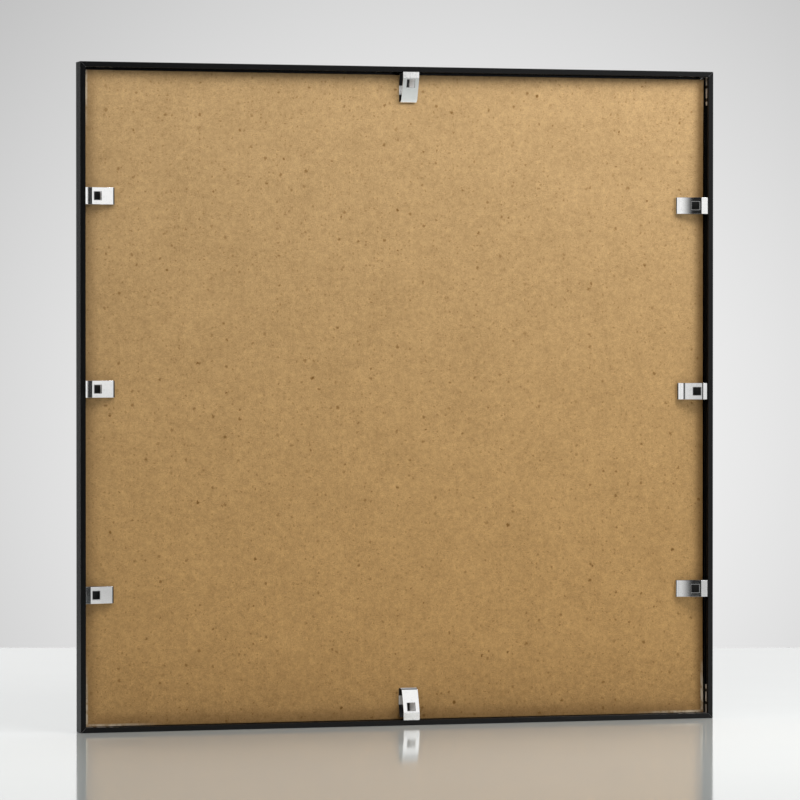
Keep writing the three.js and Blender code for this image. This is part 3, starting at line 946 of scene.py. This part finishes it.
# Each screen's two upright edges as bearings and its low and high edges as heights, all in degrees,
# with the soft width of every edge
SCREENS = {
    "right": ((15.0, 16.2), (66.0, 56.0), (-8.0, 2.0), (10.0, 5.0)),
    "upper": ((8.0, 14.0), (36.0, 24.0), (6.0, 12.0), (48.0, 38.0)),
    "low": ((15.0, 16.2), (19.0, 17.5), (-24.0, -14.0), (2.0, -8.0)),
    "left": ((-11.0, -26.0), (-60.0, -46.0), (-9.0, 1.0), (12.0, 6.0)),
}
SCREEN_GLOW = 1.03
BACKDROP_TURN = (0.0, 0.3)
BACKDROP_SIDE = (-0.16, -0.05)
BACKDROP_TOP = (3.3, 5.2)
BEHIND_GLOW = 0.91
BEHIND_DARK = 0.09
CEILING_EDGE = (50.0, 72.0)
CEILING_GLOW = 0.6
ROOM_GLOW = 0.02


def glossy_table():
    """White lacquer with a slight unevenness in its gloss."""
    material, wire, shader = new_material("table_white_lacquer", IOR=1.5)
    shader.inputs["Base Color"].default_value = TABLE_WHITE
    place = wire.node("ShaderNodeTexCoord").out("Object")
    feed(shader, Roughness=place.noise(6.0, detail=3.0) * 0.03 + 0.055)
    return material


view_line = Vector((math.sin(HEADING), math.cos(HEADING), 0.0))
view_side = Vector((math.cos(HEADING), -math.sin(HEADING), 0.0))
ground = Vector((0.0, 0.0, cad_low.z))
table_mesh = bpy.data.meshes.new("table")
table_mesh.from_pydata([
    ground - view_line * TABLE_FRONT - view_side * TABLE_HALF_WIDTH,
    ground - view_line * TABLE_FRONT + view_side * TABLE_HALF_WIDTH,
    ground + view_line * TABLE_BEHIND + view_side * TABLE_HALF_WIDTH,
    ground + view_line * TABLE_BEHIND - view_side * TABLE_HALF_WIDTH,
], [], [(0, 1, 2, 3)])
table_mesh.materials.append(glossy_table())
table = new_object("table", table_mesh)

for name, (place, aim, lamp_size, watts) in SOFTBOXES.items():
    lamp = bpy.data.lights.new(name + "_softbox", "AREA")
    lamp.shape = "RECTANGLE"
    lamp.size, lamp.size_y = lamp_size
    lamp.energy = watts
    softbox = bpy.data.objects.new(name + "_softbox", lamp)
    softbox.location = place
    softbox.rotation_euler = (Vector(aim) - Vector(place)).to_track_quat("-Z", "Y").to_euler()
    softbox.visible_camera = False
    softbox.visible_glossy = name != "front"
    bpy.context.scene.collection.objects.link(softbox)

world = bpy.data.worlds.new("studio")
world.use_nodes = True
bpy.context.scene.world = world
wire = Wire(world.node_tree)
world.node_tree.nodes.clear()
direction = wire.node("ShaderNodeTexCoord").out("Generated")
toward = wire.node("ShaderNodeSeparateXYZ", {}, {"Vector": direction})
bearing = wire.math("ARCTAN2", toward.out("X"), toward.out("Y") * -1.0) * (180.0 / math.pi)
height = wire.math("ARCSINE", toward.out("Z")) * (180.0 / math.pi)
screens = None
for near_edge, far_edge, low_edge, high_edge in SCREENS.values():
    level = height.rise(*low_edge) * height.rise(*high_edge)
    screen = bearing.rise(*near_edge) * bearing.rise(*far_edge) * level
    screens = screen if screens is None else screens + screen
reflected = toward.out("X").rise(*BACKDROP_SIDE) * BEHIND_GLOW + BEHIND_DARK
behind = toward.out("Y").rise(*BACKDROP_TURN) * reflected * (1.0 - height.rise(*BACKDROP_TOP) * 0.05)
ceiling = height.rise(*CEILING_EDGE)
studio = screens * SCREEN_GLOW + behind + ceiling * CEILING_GLOW + ROOM_GLOW
across = wire.node("ShaderNodeVectorMath", {"operation": "DOT_PRODUCT"},
                   {0: direction, 1: view_side}).out("Value")
off_side = (across - GLOW_MIDDLE[0]) / GLOW_REACH
off_level = (toward.out("Z") - GLOW_MIDDLE[1]) / GLOW_REACH
glow = wire.math("EXPONENT", (off_side * off_side + off_level * off_level) * -1.0)
pale = glow * GLOW + BACKDROP
seen = wire.node("ShaderNodeLightPath").out("Is Camera Ray")
strength = seen * pale + (1.0 - seen) * studio
background = wire.node("ShaderNodeBackground", {}, {"Color": (1.0, 1.0, 1.0, 1.0), "Strength": strength})
background.node("ShaderNodeOutputWorld", {}, {"Surface": background})

bpy.context.scene.view_settings.view_transform = "Standard"
